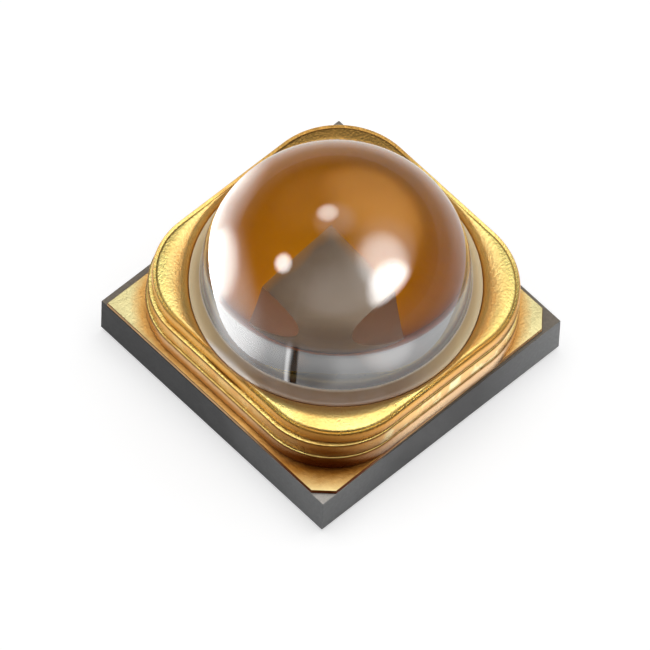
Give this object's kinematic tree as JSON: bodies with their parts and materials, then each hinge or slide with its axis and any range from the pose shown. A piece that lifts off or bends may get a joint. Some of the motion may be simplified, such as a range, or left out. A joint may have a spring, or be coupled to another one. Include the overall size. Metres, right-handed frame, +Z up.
{
  "type": "uvc led",
  "caption": "Square surface-mount ultraviolet LED with a grey ceramic base, a stepped gold-plated frame and a clear half-ball lens.",
  "frame": {"origin": "centre of the square base, on the plane of the solder pads' undersides", "axes": "+Z up through the lens; +X along the front edge from the cathode pad to the anode pad; +Y towards the back edge, where the left corner of the plated frame is the sharp one"},
  "size_m": [0.0036, 0.0036, 0.0027],
  "materials": {
    "ceramic": "matt, fine grain, sawn sides darker",
    "plated_gold": "gold over nickel on plated copper, satin with fine grain",
    "via_copper": "filled copper",
    "quartz": "clear, polished",
    "adhesive": "clear, glossy",
    "sapphire": "grey, polished",
    "grown_layers": "dark, smooth",
    "chip_contact": "smooth metal",
    "solder": "dull metal",
    "silicon": "dark, polished",
    "bond_metal": "smooth metal",
    "silver_epoxy": "dull silver",
    "wire_gold": "polished"
  },
  "bodies": {
    "root": {"ceramic_base": "ceramic", "plated_frame": "plated_gold", "upper_cathode_pad": "plated_gold", "upper_anode_pad": "plated_gold", "lower_cathode_pad": "plated_gold", "lower_anode_pad": "plated_gold", "thermal_pad": "plated_gold", "via_cathode_front": "via_copper", "via_cathode_back": "via_copper", "via_anode_front": "via_copper", "via_anode_back": "via_copper", "quartz_lens": "quartz", "lens_adhesive": "adhesive", "chip_sapphire": "sapphire", "chip_grown_layers": "grown_layers", "contact_n": "chip_contact", "contact_p": "chip_contact", "solder_n": "solder", "solder_p": "solder", "protection_diode": "silicon", "diode_bond_pad": "bond_metal", "diode_die_attach": "silver_epoxy", "bond_wire": "wire_gold"}
  },
  "joints": []
}
